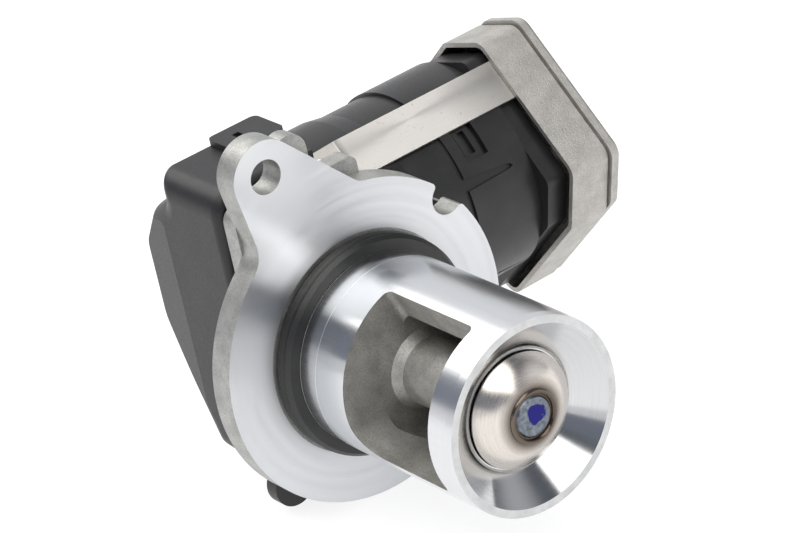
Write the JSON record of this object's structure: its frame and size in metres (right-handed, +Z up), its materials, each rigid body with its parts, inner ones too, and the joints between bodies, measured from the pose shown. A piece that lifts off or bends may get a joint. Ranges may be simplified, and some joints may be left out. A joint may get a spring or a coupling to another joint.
{
  "type": "EGR valve",
  "caption": "Electric exhaust gas recirculation valve with a turned snout, side gas window, flange and gear motor.",
  "frame": {"origin": "centre of the flange's sealing face, on the valve axis", "axes": "+X along the motor towards its end cap, -Y along the valve towards the poppet, +Z up"},
  "size_m": [0.1017, 0.1108, 0.084],
  "materials": {
    "cast_aluminium": "grained",
    "turned_steel": "satin",
    "spring_steel": "satin",
    "strap_steel": "brushed",
    "plated_steel": "satin",
    "forged_steel": "satin",
    "black_plastic": "matte",
    "gear_plastic": "matte",
    "bronze": "matte",
    "copper": "gloss",
    "black_rubber": "matte",
    "ferrite": "matte",
    "board_green": "matte"
  },
  "bodies": {
    "housing": {"valve_body": "cast_aluminium", "snout_seal_ring": "black_rubber", "seat_ring": "turned_steel", "guide_bush": "bronze", "stem_seal": "black_rubber", "gear_pin": "spring_steel", "bearing_plate": "plated_steel", "crank_bush": "bronze", "plate_screws": "plated_steel", "motor_can": "plated_steel", "motor_magnets": "ferrite", "brush_card": "gear_plastic", "motor_front_bush": "bronze", "motor_rear_bush": "bronze", "gear_cover": "black_plastic", "cover_gasket": "black_rubber", "gear_housing": "black_plastic", "housing_gasket": "black_rubber", "housing_screws": "plated_steel", "sensor_board": "board_green", "connector_pins": "copper", "motor_housing": "black_plastic", "end_cap": "cast_aluminium", "cap_seal": "black_rubber", "cap_screws": "plated_steel", "retaining_strap": "strap_steel", "strap_screw": "plated_steel"},
    "valve": {"poppet": "turned_steel", "valve_stem": "turned_steel", "spring_seat": "spring_steel", "stem_yoke": "forged_steel", "return_spring": "spring_steel"},
    "crank": {"crank_shaft": "forged_steel", "sector_gear": "gear_plastic", "sensor_magnet": "ferrite"},
    "idler": {"intermediate_gear": "gear_plastic"},
    "rotor": {"motor_pinion": "bronze", "rotor_core": "ferrite", "rotor_windings": "copper", "motor_shaft": "spring_steel", "commutator": "copper"}
  },
  "joints": [
    {"name": "rotor_spin", "type": "hinge", "parent": "housing", "child": "rotor", "pos_m": [0, 0.03, 0.0072], "axis": [-1, 0, 0], "range_deg": [0, 330]},
    {"name": "idler_spin", "type": "hinge", "parent": "housing", "child": "idler", "pos_m": [0, 0.02408, -0.00593], "axis": [-1, 0, 0], "range_deg": [-110.01, 0]},
    {"name": "crank_turn", "type": "hinge", "parent": "housing", "child": "crank", "pos_m": [0, 0.02264, 0.008], "axis": [-1, 0, 0], "range_deg": [0, 44.01]},
    {"name": "valve_lift", "type": "slide", "parent": "housing", "child": "valve", "axis": [0, -1, 0], "range_m": [0, 0.006], "deforming": ["return_spring"]}
  ],
  "couplings": [
    {"joint": "idler_spin", "follows": "rotor_spin", "ratio": -0.33333},
    {"joint": "crank_turn", "follows": "rotor_spin", "ratio": 0.13333},
    {"joint": "valve_lift", "follows": "rotor_spin", "m_per_rad": 0.0010406}
  ]
}
